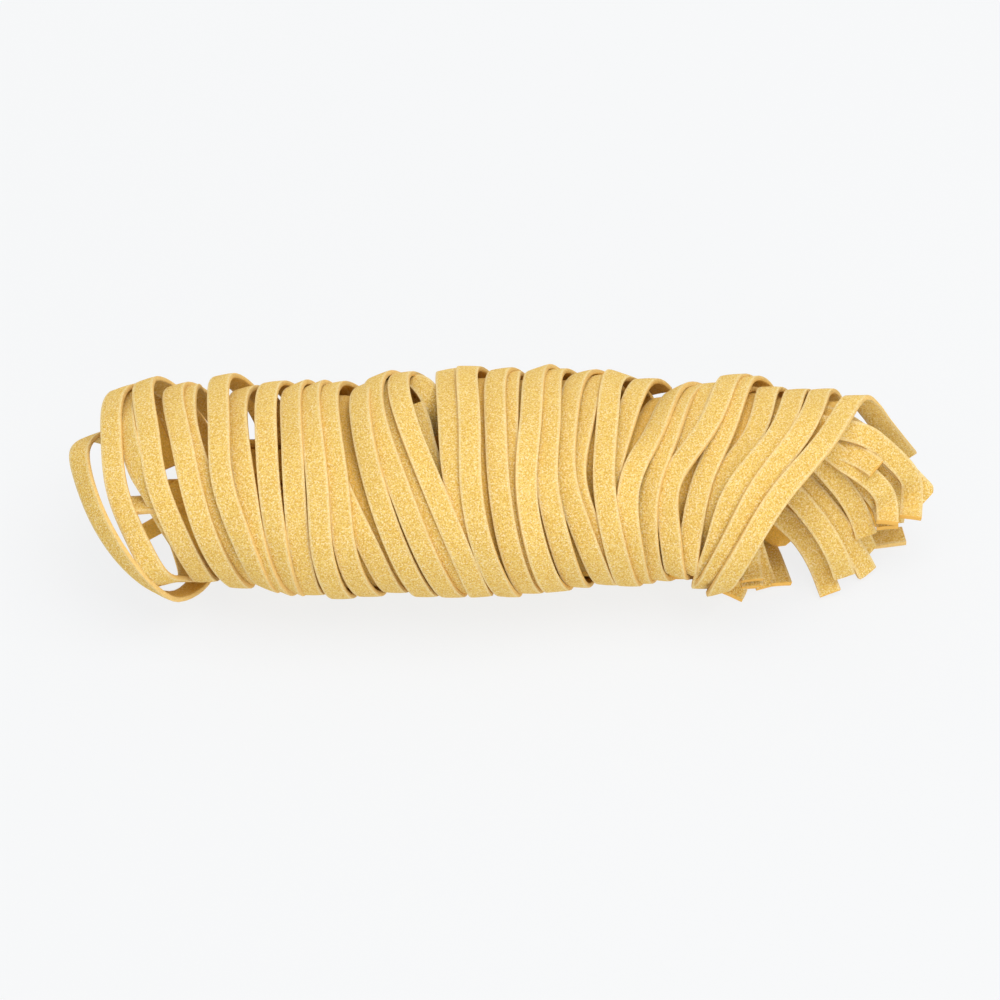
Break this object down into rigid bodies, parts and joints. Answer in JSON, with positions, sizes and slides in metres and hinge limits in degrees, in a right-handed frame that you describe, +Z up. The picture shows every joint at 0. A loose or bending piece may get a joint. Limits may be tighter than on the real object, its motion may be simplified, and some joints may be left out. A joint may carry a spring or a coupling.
{
  "type": "dry pasta nest",
  "caption": "Long hank of dry flat egg ribbon pasta, wound in leaning oval loops, open at one end, with a fan of cut ends at the other.",
  "frame": {"origin": "on the surface that the hank lies on, under the middle of its box", "axes": "+X along the hank towards its cut ends, +Y to the side away from the leaning front of the loops, +Z up"},
  "size_m": [0.2318, 0.0686, 0.055],
  "materials": {
    "pasta": "dry and matte with a fine semolina grain, paler along the edges"
  },
  "bodies": {
    "root": {"pasta_nest": "pasta"}
  },
  "joints": []
}
